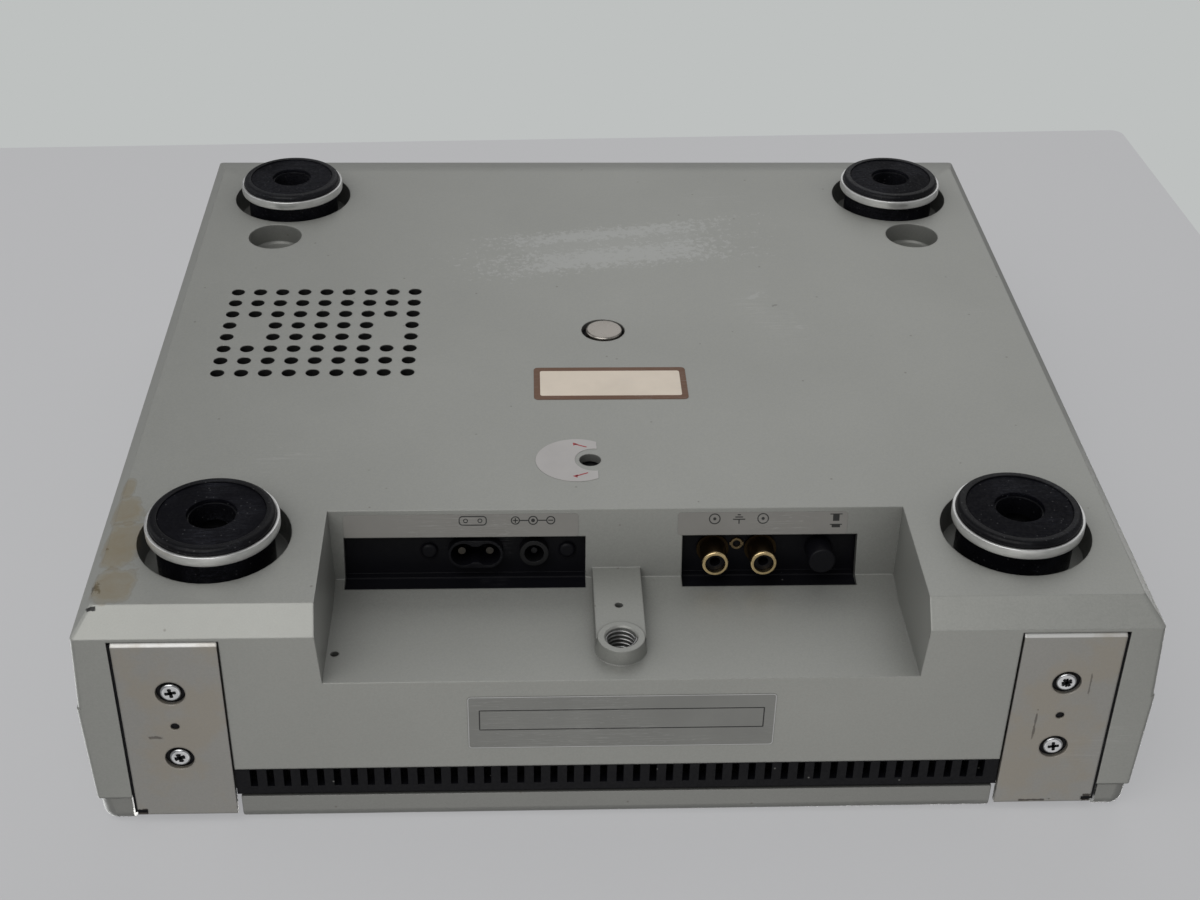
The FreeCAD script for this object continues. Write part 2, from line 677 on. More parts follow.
def make_rear_grille():
    half = grille_half_w() - 0.1
    face = REAR_Y - GRILLE_SINK
    top = REAR_PARTING_Z - PARTING_GAP
    strip = box(-half, half, REAR_Y - WALL - 1, face, GRILLE_LOW_Z + 0.1, top)
    start = -(GRILLE_SLOTS - 1) / 2 * GRILLE_PITCH
    low = GRILLE_LOW_Z + GRILLE_SLOT_LOW
    slots = []
    for i in range(GRILLE_SLOTS):
        x = start + i * GRILLE_PITCH
        slots.append(box(x - GRILLE_SLOT_W / 2, x + GRILLE_SLOT_W / 2, REAR_Y - WALL - 2,
                         REAR_Y + 1, low, low + GRILLE_SLOT_H))
    swing = rod_x(-WIDTH, WIDTH, HINGE_Y, HINGE_Z, lid_corner_swing())
    add("rear_vent_grille", strip.cut(slots + [swing]))


# Sockets in the recess

def panel_block(window):
    """A black moulding that closes a window from inside, with a pocket for the sockets."""
    x0, x1 = window
    depth = 14.0
    low = WINDOW_LOW_Z - PANEL_RIM
    high = WINDOW_HIGH_Z + PANEL_RIM
    outer = box(x0 - PANEL_RIM, x1 + PANEL_RIM, PANEL_FACE_Y - PANEL_T, PANEL_FACE_Y + depth,
                low, high)
    pocket = tilted(box(x0, x1, PANEL_FACE_Y, PANEL_FACE_Y + depth + 5,
                        WINDOW_LOW_Z - 1.2, WINDOW_HIGH_Z + 1.6))
    return outer.cut([pocket, recess_block(RECESS_WALL + 0.02)])


def stadium_y(x, z, half_x, r, y0, y1):
    ends = [rod_y(x + s * half_x, y0, y1, z, r) for s in (-1, 1)]
    return fuse(ends + [box(x - half_x, x + half_x, y0, y1, z - r, z + r)])


def make_power_sockets():
    face = PANEL_FACE_Y
    panel = panel_block(POWER_WINDOW)
    half = (INLET_W - INLET_H) / 2
    body = stadium_y(INLET_X, PANEL_Z, half, INLET_H / 2, face - SOCKET_BACK, face + INLET_PROUD)
    lobes = [rod_y(INLET_X + s * INLET_LOBE_X, face + INLET_PROUD - INLET_DEPTH,
                   face + INLET_PROUD + 1, PANEL_Z, INLET_LOBE_R) for s in (-1, 1)]
    waist = box(INLET_X - INLET_LOBE_X, INLET_X + INLET_LOBE_X, face + INLET_PROUD - INLET_DEPTH,
                face + INLET_PROUD + 1, PANEL_Z - INLET_LOBE_R * 0.72, PANEL_Z + INLET_LOBE_R * 0.72)
    add("ac_inlet", tilted(body.cut(fuse(lobes + [waist]))))
    floor_y = face + INLET_PROUD - INLET_DEPTH
    pins = [rod_y(INLET_X + s * INLET_PIN_X, floor_y, floor_y + INLET_PIN_L, PANEL_Z, INLET_PIN_R)
            for s in (-1, 1)]
    add("ac_inlet_pins", Part.makeCompound([tilted(p) for p in pins]))
    jack = rod_y(DC_X, face - SOCKET_BACK, face + DC_PROUD, PANEL_Z, DC_R)
    bore = rod_y(DC_X, face + DC_PROUD - DC_DEPTH, face + DC_PROUD + 1, PANEL_Z, DC_BORE_R)
    pin = rod_y(DC_X, face + DC_PROUD - DC_DEPTH - 1, face + DC_PROUD - 2, PANEL_Z, DC_PIN_R)
    add("dc_jack", tilted(jack.cut(bore).fuse(pin)))
    seats = [stadium_y(INLET_X, PANEL_Z, half, INLET_H / 2, face - SOCKET_BACK, face + 1),
             rod_y(DC_X, face - SOCKET_BACK, face + 1, PANEL_Z, DC_R)]
    panel = panel.cut([tilted(s) for s in seats])
    rivets = []
    for x in RIVET_X:
        head = rod_y(x, face, face + RIVET_H, PANEL_Z, RIVET_R)
        rim = [e for e in head.Edges if e.BoundBox.YMin > face + RIVET_H - 0.01]
        rivets.append(tilted(head.makeFillet(RIVET_H * 0.7, rim)))
    add("power_panel", Part.makeCompound([panel] + rivets))


def make_signal_sockets():
    face = PANEL_FACE_Y
    panel = panel_block(SIGNAL_WINDOW)
    seats = [rod_y(x, face - SOCKET_BACK, face + 1, PANEL_Z, PHONO_R) for x in PHONO_X]
    seats.append(rod_y(BUTTON_X, face - PANEL_T - 5, face + 1, PANEL_Z, BUTTON_R + RUNNING_GAP))
    add("signal_panel", panel.cut([tilted(s) for s in seats]))
    shells, cores = [], []
    for x in PHONO_X:
        shell = rod_y(x, face - SOCKET_BACK, face + PHONO_L, PANEL_Z, PHONO_R)
        flange = rod_y(x, face, face + PHONO_FLANGE_T, PANEL_Z, PHONO_FLANGE_R)
        bore = rod_y(x, face - SOCKET_BACK - 1, face + PHONO_L + 1, PANEL_Z, PHONO_BORE_R)
        jack = shell.fuse(flange).cut(bore)
        lip = [e for e in jack.Edges if e.BoundBox.YMin > face + PHONO_L - 0.01
               and e.BoundBox.XLength > 2 * PHONO_R - 0.1]
        jack = jack.makeFillet(0.45, lip)
        shells.append(tilted(jack))
        core = rod_y(x, face - SOCKET_BACK, face + PHONO_L - 1.6, PANEL_Z, PHONO_BORE_R)
        hole = rod_y(x, face, face + PHONO_L, PANEL_Z, PHONO_PIN_BORE_R)
        cores.append(tilted(core.cut(hole)))
    add("phono_jacks", Part.makeCompound(shells))
    add("phono_insulators", Part.makeCompound(cores))
    z = PANEL_Z - LUG_RISE
    lug = rod_y(LUG_X, face, face + LUG_T, z, LUG_R)
    ears = box(LUG_X - LUG_EAR_L, LUG_X + LUG_EAR_L, face, face + LUG_T, z - 0.5, z + 0.5)
    hole = rod_y(LUG_X, face - 1, face + 3, z, LUG_HOLE_R)
    add("ground_lug", tilted(fuse([lug, ears]).cut(hole)))
    stem = rod_y(BUTTON_X, face - BUTTON_STEM_L, face + BUTTON_PROUD, PANEL_Z, BUTTON_R)
    rim = [e for e in stem.Edges if e.BoundBox.YMin > face + BUTTON_PROUD - 0.01]
    add("cartridge_switch_button", tilted(stem.makeFillet(0.5, rim)))


# Feet

def make_feet():
    rings, pads, screws = [], [], cover_screws()
    ring_z = FOOT_H
    neck_top = BOTTOM_Z + WELL_DEPTH
    for name, x, y in foot_places():
        cap = rod_z(x, y, 0, ring_z, FOOT_R)
        rim = [e for e in cap.Edges if e.BoundBox.ZMax < 0.01]
        cap = cap.makeFillet(FOOT_EDGE_R, rim)
        neck = rod_z(x, y, ring_z, neck_top, NECK_R)
        cuts = [rod_z(x, y, -1, FELT_SINK + FELT_T, FELT_R),
                rod_z(x, y, -1, FOOT_HOLE_DEPTH + FOOT_SCREW_HEAD_H, FOOT_HOLE_R - 0.6),
                rod_z(x, y, -1, neck_top + 1, FOOT_BORE_R)]
        add("foot_" + name, cap.fuse(neck).cut(cuts))
        ring = rod_z(x, y, ring_z, ring_z + RING_H, RING_R)
        edges = [e for e in ring.Edges if e.BoundBox.ZLength < 0.01]
        ring = ring.makeFillet(0.5, edges)
        rings.append(ring.cut(rod_z(x, y, ring_z - 1, ring_z + RING_H + 1, NECK_R)))
        pad = rod_z(x, y, FELT_SINK, FELT_SINK + FELT_T, FELT_R)
        pads.append(pad.cut(rod_z(x, y, FELT_SINK - 1, FELT_SINK + FELT_T + 1, FOOT_HOLE_R)))
        head_z = FOOT_HOLE_DEPTH
        head = rod_z(x, y, head_z, head_z + FOOT_SCREW_HEAD_H, FOOT_SCREW_HEAD_R)
        shank = rod_z(x, y, head_z, neck_top + WELL_WALL + 4, FOOT_BORE_R)
        slot = box(x - 3.4, x + 3.4, y - 0.6, y + 0.6, head_z - 1, head_z + 0.9)
        screws.append(head.fuse(shank).cut(slot))
    add("foot_rings", Part.makeCompound(rings))
    add("foot_felt_pads", Part.makeCompound(pads))
    add("case_screws", Part.makeCompound(screws))


# Motor, spindle and platter

def make_motor():
    base_z = BOTTOM_TOP
    top = base_z + MOTOR_H
    housing = rod_z(0, SPINDLE_Y, base_z, top, MOTOR_R)
    edges = [e for e in housing.Edges if e.BoundBox.ZMin > top - 0.01]
    housing = housing.makeFillet(3.0, edges)
    bore = rod_z(0, SPINDLE_Y, base_z + 6, top + 1, SHAFT_R + RUNNING_GAP)
    add("motor_housing", housing.cut(bore))
    cap = rod_z(0, SPINDLE_Y, BOTTOM_Z + 0.7, base_z, CAP_R)
    rim = [e for e in cap.Edges if e.BoundBox.ZMax < BOTTOM_Z + 0.71]
    add("bearing_cap", cap.makeFillet(CAP_DOME, rim))


def make_rotor_and_platter():
    motor_top = BOTTOM_TOP + MOTOR_H
    shaft = rod_z(0, SPINDLE_Y, BOTTOM_TOP + 6.4, motor_top + 2, SHAFT_R)
    disc = rod_z(0, SPINDLE_Y, motor_top + FREE_GAP, motor_top + FREE_GAP + ROTOR_H, ROTOR_R)
    hub_z = PLATTER_TOP_Z - PLATTER_WEB_T
    neck = rod_z(0, SPINDLE_Y, motor_top + FREE_GAP, hub_z, 16.0)
    spindle = rod_z(0, SPINDLE_Y, hub_z - 1, SPINDLE_TOP_Z, SPINDLE_R)
    tip = [e for e in spindle.Edges if e.BoundBox.ZMin > SPINDLE_TOP_Z - 0.01]
    spindle = spindle.makeFillet(SPINDLE_R * 0.6, tip)
    add("rotor_spindle", fuse([shaft, disc, neck, spindle]))
    top = PLATTER_TOP_Z
    plate = rod_z(0, SPINDLE_Y, top - PLATTER_RIM_H, top, PLATTER_R)
    rim = [e for e in plate.Edges if e.BoundBox.ZMin > top - 0.01]
    plate = plate.makeChamfer(0.8, rim)
    hollow = rod_z(0, SPINDLE_Y, top - PLATTER_RIM_H - 1, top - PLATTER_WEB_T,
                   PLATTER_R - PLATTER_RIM_T)
    hole = rod_z(0, SPINDLE_Y, top - PLATTER_RIM_H - 1, top + 1, SPINDLE_R)
    seat = rod_z(0, SPINDLE_Y, top - ADAPTOR_T, top + 1, ADAPTOR_R + PANEL_GAP)
    ribs = []
    for i in range(6):
        rib = box(PLATTER_HUB_R - 2, PLATTER_R - PLATTER_RIM_T + 1, SPINDLE_Y - 1.5,
                  SPINDLE_Y + 1.5, top - PLATTER_RIM_H + 2, top - PLATTER_WEB_T + 0.5)
        rib.rotate(V(0, SPINDLE_Y, 0), V(0, 0, 1), 60 * i)
        ribs.append(rib)
    add("platter", fuse([plate.cut(hollow)] + ribs).cut([hole, seat]))
    mat = rod_z(0, SPINDLE_Y, top, top + MAT_T, MAT_R)
    mat = mat.cut(rod_z(0, SPINDLE_Y, top + MAT_T - 0.6, top + MAT_T + 1, MAT_LABEL_R))
    step = (MAT_R - MAT_LABEL_R) / (MAT_GROOVES + 1)
    grooves = []
    for i in range(1, MAT_GROOVES + 1):
        r = MAT_LABEL_R + i * step
        outer = rod_z(0, SPINDLE_Y, top + MAT_T - 0.5, top + MAT_T + 1, r + 1.2)
        grooves.append(outer.cut(rod_z(0, SPINDLE_Y, top, top + MAT_T + 2, r - 1.2)))
    centre = rod_z(0, SPINDLE_Y, top - 1, top + MAT_T + 1, ADAPTOR_R + PANEL_GAP)
    add("platter_mat", mat.cut(grooves + [centre]))
    adaptor = rod_z(0, SPINDLE_Y, top - ADAPTOR_T, top - ADAPTOR_T + 3.2, ADAPTOR_R)
    rim = [e for e in adaptor.Edges if e.BoundBox.ZMin > top - ADAPTOR_T + 3.1]
    adaptor = adaptor.makeFillet(0.8, rim)
    bore = rod_z(0, SPINDLE_Y, top - 5, top + 5, SPINDLE_R + RUNNING_GAP)
    add("centre_adaptor", adaptor.cut(bore))


# Inside of the base

def make_transformer():
    x0, x1, y0, y1 = TRANSFORMER
    z0 = BOTTOM_TOP + 2
    middle_x, middle_z = (x0 + x1) / 2, z0 + TRANSFORMER_H / 2
    half = TRANSFORMER_STACK_T / 2
    core = box(x0, x1, (y0 + y1) / 2 - half, (y0 + y1) / 2 + half, z0, z0 + TRANSFORMER_H)
    coil = box(middle_x - 17, middle_x + 17, y0 + 4, y1 - 4, z0 + 4, z0 + TRANSFORMER_H - 4)
    coil_edges = [e for e in coil.Edges if e.BoundBox.ZLength > 5]
    coil = coil.makeFillet(4.0, coil_edges)
    add("transformer", fuse([core, coil]))


def make_boards():
    z = BOTTOM_TOP + BOARD_POST_H
    boards = []
    for x0, x1, y0, y1 in (POWER_BOARD, CONTROL_BOARD):
        parts = [box(x0, x1, y0, y1, z, z + BOARD_T)]
        for i in range(4):
            y = y0 + (y1 - y0) * (0.15 + 0.17 * i)
            x = x0 + (x1 - x0) * (0.32 + 0.3 * (i % 2))
            parts.append(rod_z(x, y, z + BOARD_T - 0.1, z + BOARD_T + 9 + 2 * (i % 2), 4.0))
        boards.append(fuse(parts))
    dial_z = BOTTOM_TOP + 0.4
    pin = rod_z(SELECTOR_X, SELECTOR_Y, dial_z + 1.6, z + 0.5, SELECTOR_PIN_R)
    boards[0] = fuse([boards[0], pin])
    add("circuit_boards", Part.makeCompound(boards))
    dial = rod_z(SELECTOR_X, SELECTOR_Y, dial_z, dial_z + SELECTOR_DIAL_H, SELECTOR_DIAL_R)
    slot = box(SELECTOR_X - 3.0, SELECTOR_X + 3.0, SELECTOR_Y - 0.5, SELECTOR_Y + 0.5,
               dial_z - 1, dial_z + 1.0)
    bore = rod_z(SELECTOR_X, SELECTOR_Y, dial_z + 1.4, dial_z + SELECTOR_DIAL_H + 1,
                 SELECTOR_PIN_R + RUNNING_GAP)
    add("voltage_selector", dial.cut([slot, bore]))


def deck_outline(z0, z1, gap):
    side = HALF_W - WALL - gap
    return box(-side, side, -HALF_D + WALL + gap, TOWER_FRONT_Y - WALL, z0, z1)


def make_deck():
    z1 = PARTING_Z
    deck = deck_outline(z1 - DECK_T, z1, DECK_GAP)
    knob_w = 1.2 + KNOB_TRAVEL / 2 + 0.4
    cuts = [rod_z(0, SPINDLE_Y, z1 - 5, z1 + 5, DECK_HOLE_R)]
    cuts.append(box(SPEED_KNOB_X - knob_w, SPEED_KNOB_X + knob_w, KNOB_Y - 1.8, KNOB_Y + 1.8,
                    z1 - 5, z1 + 5))
    half = STRIKER_W / 2 + STRIKER_ROOM
    back = STRIKER_Y + STRIKER_T + STRIKER_ROOM
    cuts.append(box(-half, half, -HALF_D, back, z1 - 5, z1 + 5))
    add("base_deck", deck.cut(cuts))


def make_selector_knob():
    w, d, h = SELECTOR_KNOB
    x = SPEED_KNOB_X - KNOB_TRAVEL / 2
    z = PARTING_Z
    cap = box(x - w / 2, x + w / 2, KNOB_Y - d / 2, KNOB_Y + d / 2, z + 0.3, z + 0.3 + h)
    stem = box(x - 1.2, x + 1.2, KNOB_Y - 1.4, KNOB_Y + 1.4, z - 6, z + 0.5)
    keeper = box(x - 2.4, x + 2.4, KNOB_Y - 3, KNOB_Y + 3, z - DECK_T - 1.5, z - DECK_T - 0.3)
    add("speed_selector", fuse([cap, stem, keeper]))


def front_wall_y(z):
    """Outside of the base's front wall at a height between the chamfer and the parting line."""
    share = (z - CHAMFER_Z) / (PARTING_Z - CHAMFER_Z)
    return -HALF_D + FRONT_DRAFT * (1 - share)


def make_latch():
    low, high = OPEN_Z - OPEN_H / 2, OPEN_Z + OPEN_H / 2
    face = front_wall_y(OPEN_Z) - OPEN_PROUD
    flange_y = front_wall_y(low) + WALL + 0.3
    button = box(-OPEN_W / 2, OPEN_W / 2, face, flange_y + 0.5, low, high)
    front = [e for e in button.Edges if e.BoundBox.YMax < face + 0.01]
    button = button.makeFillet(0.8, front)
    flange = box(-OPEN_W / 2 - OPEN_FLANGE, OPEN_W / 2 + OPEN_FLANGE, flange_y,
                 flange_y + OPEN_FLANGE_T, low - OPEN_FLANGE, high + OPEN_FLANGE)
    y0 = LATCH_PIVOT_Y - LATCH_T / 2
    y1 = LATCH_PIVOT_Y + LATCH_T / 2
    stub = box(-OPEN_STUB[0] / 2, OPEN_STUB[0] / 2, flange_y, y0 - OPEN_STUB_GAP,
               OPEN_Z - OPEN_STUB[1] / 2, OPEN_Z + OPEN_STUB[1] / 2)
    add("open_button", fuse([button, flange, stub]))
    half = LATCH_W / 2
    tip = STRIKER_Y + STRIKER_T + LATCH_NOSE_GAP
    lever = box(-half, half, y0, y1, LATCH_PIVOT_Z, LATCH_TOP_Z)
    nose = prism_x([(y0 + 0.5, LATCH_TOP_Z - LATCH_NOSE_T), (tip, LATCH_TOP_Z - LATCH_NOSE_T),
                    (tip + 1.5, LATCH_TOP_Z), (y0 + 0.5, LATCH_TOP_Z)], -half, half)
    eye = rod_x(-half, half, LATCH_PIVOT_Y, LATCH_PIVOT_Z, 3.2)
    bore = rod_x(-half - 1, half + 1, LATCH_PIVOT_Y, LATCH_PIVOT_Z, LATCH_PIN_R + RUNNING_GAP)
    add("latch_hook", fuse([lever, nose, eye]).cut(bore))
    pin = rod_x(-half - 3.4, half + 3.4, LATCH_PIVOT_Y, LATCH_PIVOT_Z, LATCH_PIN_R)
    back = LATCH_PIVOT_Y + 20.0
    front = back - 9.0
    z = BOTTOM_TOP
    ear = [(back, z), (front, z), (LATCH_PIVOT_Y - 3.5, LATCH_PIVOT_Z - 3),
           (LATCH_PIVOT_Y - 3.5, LATCH_PIVOT_Z + 3), (LATCH_PIVOT_Y + 4, LATCH_PIVOT_Z + 3),
           (back, z + 2)]
    ears = [prism_x(ear, s * (half + 2.0) - 1.4, s * (half + 2.0) + 1.4) for s in (-1, 1)]
    foot = box(-half - 3.4, half + 3.4, front, back, z, z + 1.6)
    add("latch_bracket", fuse(ears + [foot, pin]))


# Hinge hardware

def make_hinges():
    steel, arms = [], []
    half = HINGE_PIN_HALF_L
    front = HINGE_Y - HINGE_BARREL_R
    back = REAR_Y - PLATE_T + PLATE_PROUD - 0.2
    low = HINGE_POCKET_LOW_Z
    for side in (-1, 1):
        x = side * PLATE_X
        web = box(x - half, x + half, front, front + 3, low, HINGE_Z - HINGE_BARREL_R - 2)
        foot = box(x - half, x + half, front, back, low, low + HINGE_BRACKET_T)
        ears = []
        for s in (-1, 1):
            ear_x = x + s * (half - HINGE_EAR_T / 2)
            ears.append(box(ear_x - HINGE_EAR_T / 2, ear_x + HINGE_EAR_T / 2, front, back, low,
                            HINGE_Z))
            ears.append(rod_x(ear_x - HINGE_EAR_T / 2, ear_x + HINGE_EAR_T / 2, HINGE_Y, HINGE_Z,
                              HINGE_BARREL_R - 0.2))
        bracket = fuse([web, foot] + ears)
        screw_ways = [rod_y(x, REAR_Y - SCREW_L - 2, REAR_Y, z, SCREW_HEAD_R)
                      for z in PLATE_SCREW_Z]
        bracket = bracket.cut(screw_ways)
        pin = rod_x(x - half, x + half, HINGE_Y, HINGE_Z, HINGE_PIN_R)
        steel.append(bracket.fuse(pin).removeSplitter())
        arm_half = half - HINGE_EAR_T - 0.3
        barrel = rod_x(x - arm_half, x + arm_half, HINGE_Y, HINGE_Z, HINGE_BARREL_R)
        arm = box(x - arm_half, x + arm_half, HINGE_ARM_FRONT_Y, HINGE_Y, HINGE_Z,
                  min(HINGE_Z + HINGE_BARREL_R, LID_TOP_IN))
        bore = rod_x(x - half, x + half, HINGE_Y, HINGE_Z, HINGE_PIN_R + RUNNING_GAP)
        arms.append(fuse([barrel, arm]).cut(bore))
    add("hinge_brackets", Part.makeCompound(steel))
    add("hinge_arms", Part.makeCompound(arms))


# Lid

def lid_sections(inset, low_z, high_z):
    """The lid's outline: it leans in a little from the parting line to the top."""
    lean_top = LID_TOP_DRAFT * (high_z - low_z) / (HEIGHT - PARTING_Z)
    side = HALF_W - inset
    front = -HALF_D + inset
    rear = LID_REAR_Y - inset
    top_r = LID_CORNER_R if inset == 0 else CORNER_R
    return [(-side, side, front, rear, low_z, CORNER_R),
            (-side + lean_top, side - lean_top, front + lean_top, rear, high_z, top_r)]


def lid_notches(grow):
    cuts = []
    for side in (-1, 1):
        x = side * PLATE_X
        half = PLATE_W / 2 + PLATE_GAP_OUTER + grow
        cuts.append(box(x - half, x + half, LID_NOTCH_Y, HALF_D + 5, PARTING_Z - 5, HEIGHT + 1))
    return cuts


def make_lid_shell():
    low = PARTING_Z + PARTING_GAP
    outer = stack(lid_sections(0, low, HEIGHT))
    top = [e for e in outer.Edges if e.BoundBox.ZMin > HEIGHT - 0.01]
    outer = outer.makeFillet(LID_EDGE_R, top)
    inner = stack(lid_sections(LID_WALL, low - 1, LID_TOP_IN))
    shell = outer.cut(inner)
    posts = []
    for x, y in lid_post_places():
        posts.append(rod_z(x, y, COVER_Z + COVER_T, LID_TOP_IN + 1, 3.5))
    shell = fuse([shell] + posts)
    rear_block = box(-WIDTH, WIDTH, TOWER_FRONT_Y - PARTING_GAP, HALF_D + 5, PARTING_Z - 5,
                     REAR_PARTING_Z + PARTING_GAP)
    cuts = [rear_block] + lid_notches(PLATE_GAP_LID)
    x0, x1, y0, y1 = WINDOW
    cuts.append(stack([(x0, x1, y0, y1, LID_TOP_IN - 1, WINDOW_R),
                       (x0, x1, y0, y1, HEIGHT + 1, WINDOW_R)]))
    for _, x in key_places():
        cuts.append(box(x - KEY_W / 2 - PANEL_GAP, x + KEY_W / 2 + PANEL_GAP,
                        KEY_Y - KEY_D / 2 - PANEL_GAP, KEY_Y + KEY_D / 2 + PANEL_GAP,
                        LID_TOP_IN - 1, HEIGHT + 1))
    add("lid_shell", shell.cut(cuts))
    step = 0.8
    ledge = (x0 - 3, x1 + 3, y0 - 3, y1 + 3)
    pane = stack([(x0 + PANEL_GAP, x1 - PANEL_GAP, y0 + PANEL_GAP, y1 - PANEL_GAP, LID_TOP_IN,
                   WINDOW_R), (x0 + PANEL_GAP, x1 - PANEL_GAP, y0 + PANEL_GAP, y1 - PANEL_GAP,
                               HEIGHT - step * 0.1, WINDOW_R)])
    flange = box(ledge[0], ledge[1], ledge[2], ledge[3], LID_TOP_IN - 1.4, LID_TOP_IN)
    add("lid_window", fuse([pane, flange]))


def lid_post_places():
    side = HALF_W - 17.5
    front = 39.5 - HALF_D
    rear = HALF_D - 77.5
    return [(-side, front), (-side, rear - 10.0), (-60.0, rear), (24.0, rear), (100.0, front + 18.0),
            (-90.0, front + 8.0), (20.0, front + 28.0)]


def make_lid_covers():
    z0, z1 = COVER_Z, COVER_Z + COVER_T
    cover = box(-COVER_HALF_W, COVER_HALF_W, COVER_FRONT_Y, COVER_REAR_Y, z0, z1)
    arm_slot = box(ARM_SLOT_X, COVER_HALF_W + 1, ARM_SLOT_Y, COVER_REAR_Y + 1, z0 - 1, z1 + 1)
    clamp_bore = rod_z(0, SPINDLE_Y, z0 - 1, z1 + 1, CLAMP_SHAFT_R + RUNNING_GAP)
    cover = cover.cut([arm_slot, clamp_bore])
    bush = rod_z(0, SPINDLE_Y, z1, z1 + 1.6, 8.0)
    bush = bush.cut(rod_z(0, SPINDLE_Y, z1 - 1, z1 + 3, CLAMP_SHAFT_R + RUNNING_GAP))
    add("lid_inner_cover", cover.fuse(bush))
    x0, x1 = MECH_COVER_X
    y0, y1 = MECH_COVER_Y
    z0 = MECH_COVER_Z
    floor = box(x0, x1, y0, y1, z0, z0 + MECH_COVER_T)
    wall = box(x0, x1, y1 - MECH_COVER_T, y1, z0, LID_TOP_IN)
    end = box(x0, x0 + MECH_COVER_T, y0, y1, z0, LID_TOP_IN)
    arm_pad = [box(side * PLATE_X - HINGE_ARM_ROOM, side * PLATE_X + HINGE_ARM_ROOM,
                   HINGE_ARM_FRONT_Y - 0.5, y1 + 1, HINGE_Z - 0.5, HEIGHT) for side in (1,)]
    add("mechanism_cover", fuse([floor, wall, end]).cut(arm_pad))
    half = STRIKER_W / 2
    low, high = STRIKER_Z
    width, window_low, window_high = STRIKER_WINDOW
    plate = box(-half, half, STRIKER_Y, STRIKER_Y + STRIKER_T, low, high)
    window = box(-width / 2, width / 2, STRIKER_Y - 1, STRIKER_Y + STRIKER_T + 1, window_low,
                 window_high)
    pad = box(-half, half, STRIKER_Y - 1.3, STRIKER_Y + 0.1, STRIKER_PAD_Z, high)
    add("lid_striker", fuse([plate, pad]).cut(window))


# Arm mechanism

def make_rails():
    rails = [rod_x(RAIL_X[0], RAIL_X[1], y, RAIL_Z, RAIL_R) for y in RAIL_Y]
    add("guide_rails", Part.makeCompound(rails))
    brackets = []
    y0, y1 = CARRIAGE_Y
    for x0, x1 in ((RAIL_X[0], RAIL_X[0] + RAIL_BRACKET_T), (RAIL_X[1] - RAIL_BRACKET_T, RAIL_X[1])):
        plate = box(x0, x1, y0, y1, CARRIAGE_Z[0], LID_TOP_IN)
        bores = [rod_x(x0 - 1, x1 + 1, y, RAIL_Z, RAIL_R) for y in RAIL_Y]
        brackets.append(plate.cut(bores))
    brackets.append(idler_bracket())
    add("carriage_brackets", Part.makeCompound(brackets))


def make_carriage():
    x1 = RAIL_X[1] - RAIL_BRACKET_T - FREE_GAP
    x0 = x1 - CARRIAGE_L
    z0, z1 = CARRIAGE_Z
    y0, y1 = CARRIAGE_Y
    pivot_y = ARM_PIVOT_Y
    block = box(x0, x1, y0, y1, z0, z1)
    tongue = box(x1 - CARRIAGE_TONGUE[0], x1, pivot_y - CARRIAGE_TONGUE[1], y0 + 1, z0, z1)
    lug = box(x0 + CORD_LUG_X[0], x0 + CORD_LUG_X[1], PULLEY_Y - PULLEY_R - CORD_LUG_HALF_Y,
              PULLEY_Y - PULLEY_R + CORD_LUG_HALF_Y, PULLEY_Z + 0.2, z0 + 1)
    groove = rod_x(x0, x1, PULLEY_Y - PULLEY_R, PULLEY_Z + PULLEY_H / 2, CORD_R + PANEL_GAP)
    bores = [rod_x(x0 - 1, x1 + 1, y, RAIL_Z, RAIL_R + RUNNING_GAP) for y in RAIL_Y]
    pin_bore = rod_z(ARM_X, pivot_y, z0 - 1, z0 + PIN_BORE_DEPTH, GIMBAL_PIN_R + RUNNING_GAP)
    add("arm_carriage", fuse([block, tongue, lug]).cut(bores + [groove, pin_bore]))


